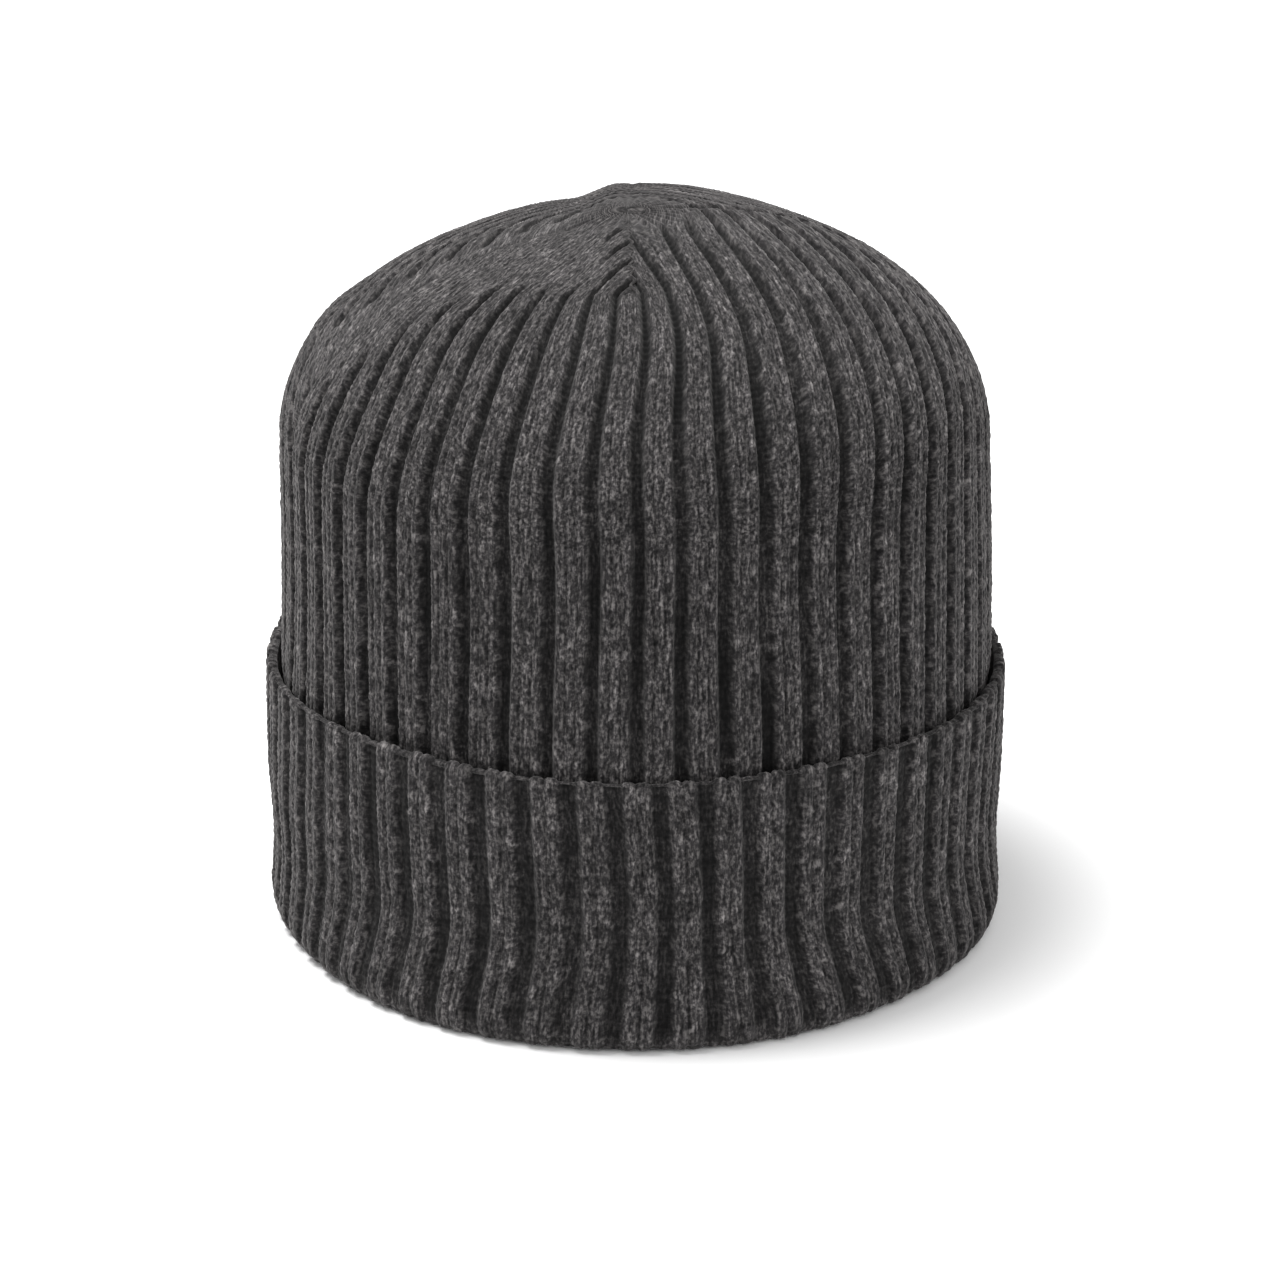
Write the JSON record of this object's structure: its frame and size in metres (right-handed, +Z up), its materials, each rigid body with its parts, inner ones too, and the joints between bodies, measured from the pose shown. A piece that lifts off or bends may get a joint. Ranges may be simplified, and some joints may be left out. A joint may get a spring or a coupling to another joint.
{
  "type": "knit beanie",
  "caption": "Rib-knit beanie with an oval body, a domed crown of gores meeting at the top, and a turned-up cuff that slides down.",
  "frame": {"origin": "centre of the opening, on the surface that the beanie stands on, under the middle of its box", "axes": "+Z up to the crown, -Y the front, +Y the back with the closing seam and the care label, +X to the right seen from the front"},
  "size_m": [0.18, 0.204, 0.1762],
  "materials": {
    "rib_knit": "charcoal melange rib knit",
    "cuff_knit": "charcoal melange rib knit",
    "seam_yarn": "charcoal linking yarn",
    "label_tape": "plain off-white satin tape",
    "label_thread": "dark sewing thread"
  },
  "bodies": {
    "shell": {"body_tube": "rib_knit", "back_seam": "seam_yarn", "crown_gore_front_left": "rib_knit", "crown_gore_front_right": "rib_knit", "crown_gore_back_left": "rib_knit", "crown_gore_back_right": "rib_knit", "crown_seam_front": "seam_yarn", "crown_seam_back": "seam_yarn", "crown_seam_left": "seam_yarn", "crown_seam_right": "seam_yarn", "crown_tack": "seam_yarn", "label_stitches": "label_thread"},
    "cuff": {"cuff_layer": "cuff_knit", "cuff_back_seam": "seam_yarn", "cuff_fold": "cuff_knit", "cuff_edge": "cuff_knit"},
    "label": {"care_label": "label_tape"}
  },
  "joints": [
    {"name": "cuff_turn_down", "type": "slide", "parent": "shell", "child": "cuff", "axis": [0, 0, -1], "range_m": [0, 0.06]},
    {"name": "label_swing", "type": "hinge", "parent": "shell", "child": "label", "pos_m": [0, 0.0933, 0.108], "axis": [-1, 0, 0], "range_deg": [0, 90]}
  ]
}
